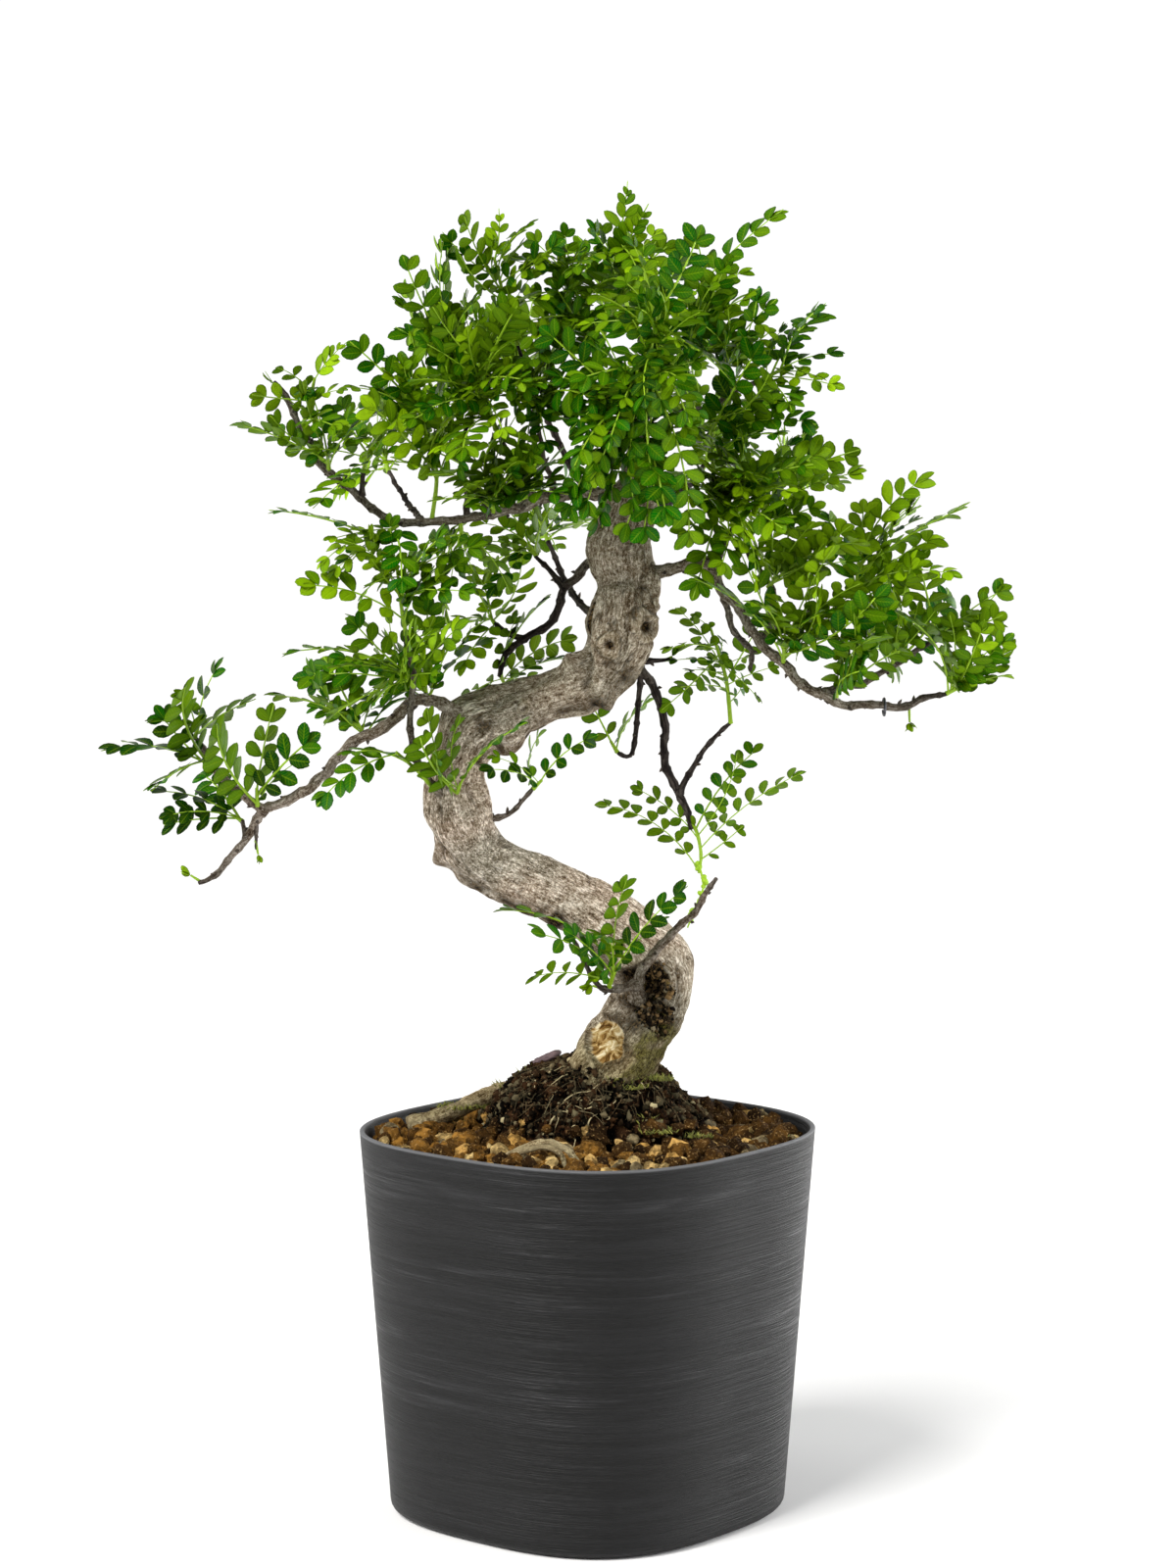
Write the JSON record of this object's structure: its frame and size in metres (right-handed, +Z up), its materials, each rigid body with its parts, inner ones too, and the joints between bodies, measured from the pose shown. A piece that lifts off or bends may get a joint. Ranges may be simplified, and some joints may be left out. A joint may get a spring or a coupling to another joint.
{
  "type": "japanese pepper tree bonsai",
  "caption": "Pepper tree bonsai with an S-shaped trunk, twiggy side branches and small pinnate fronds, standing in granules in a tapered rounded-square planter.",
  "frame": {"origin": "middle of the pot's flat underside, where it stands", "axes": "+Z up the tree, -Y towards the side it is viewed from, +X to the viewer's right"},
  "size_m": [0.3943, 0.2302, 0.582],
  "materials": {
    "pot": "satin anthracite, brushed crosswise",
    "granules": "rough fired-clay and pumice grains",
    "peat": "damp fibrous peat",
    "bark": "grey-brown bark with pale flecks",
    "chip": "weathered bark flake",
    "leaf": "satin green leaf",
    "wire": "anodised, dark"
  },
  "bodies": {
    "root": {"bark_chip": "chip", "pot": "pot", "root_mound": "peat", "spray_arm_below": "leaf", "spray_arm_front": "leaf", "spray_bend_end": "leaf", "spray_bend_front": "leaf", "spray_crown_back": "leaf", "spray_crown_left": "leaf", "spray_crown_rear": "leaf", "spray_crown_tip": "leaf", "spray_foot_spray": "leaf", "spray_fork_end": "leaf", "spray_fork_middle": "leaf", "spray_front_peak": "leaf", "spray_front_shoot": "leaf", "spray_front_spur": "leaf", "spray_hanging_end": "leaf", "spray_hanging_shoot": "leaf", "spray_hook_end": "leaf", "spray_inner_shoot": "leaf", "spray_left_back": "leaf", "spray_left_below": "leaf", "spray_left_end_middle": "leaf", "spray_left_end_upper": "leaf", "spray_left_face": "leaf", "spray_left_front": "leaf", "spray_left_hind": "leaf", "spray_left_outer": "leaf", "spray_left_peak": "leaf", "spray_left_rear": "leaf", "spray_left_shoulder": "leaf", "spray_low_end_lower": "leaf", "spray_low_end_middle": "leaf", "spray_low_end_upper": "leaf", "spray_low_fork": "leaf", "spray_low_hanging": "leaf", "spray_low_knee": "leaf", "spray_low_middle": "leaf", "spray_mast_middle": "leaf", "spray_mast_top": "leaf", "spray_rear_left_end": "leaf", "spray_rear_left_lower": "leaf", "spray_rear_left_upper": "leaf", "spray_rear_low": "leaf", "spray_rear_right": "leaf", "spray_right_back": "leaf", "spray_right_end": "leaf", "spray_right_low": "leaf", "spray_right_middle": "leaf", "spray_right_peak": "leaf", "spray_right_rear": "leaf", "spray_right_spur": "leaf", "spray_right_tip": "leaf", "spray_rise_front": "leaf", "spray_rise_side": "leaf", "spray_rise_top": "leaf", "substrate": "granules", "tree_wood": "bark", "wire_clip": "wire"}
  },
  "joints": []
}
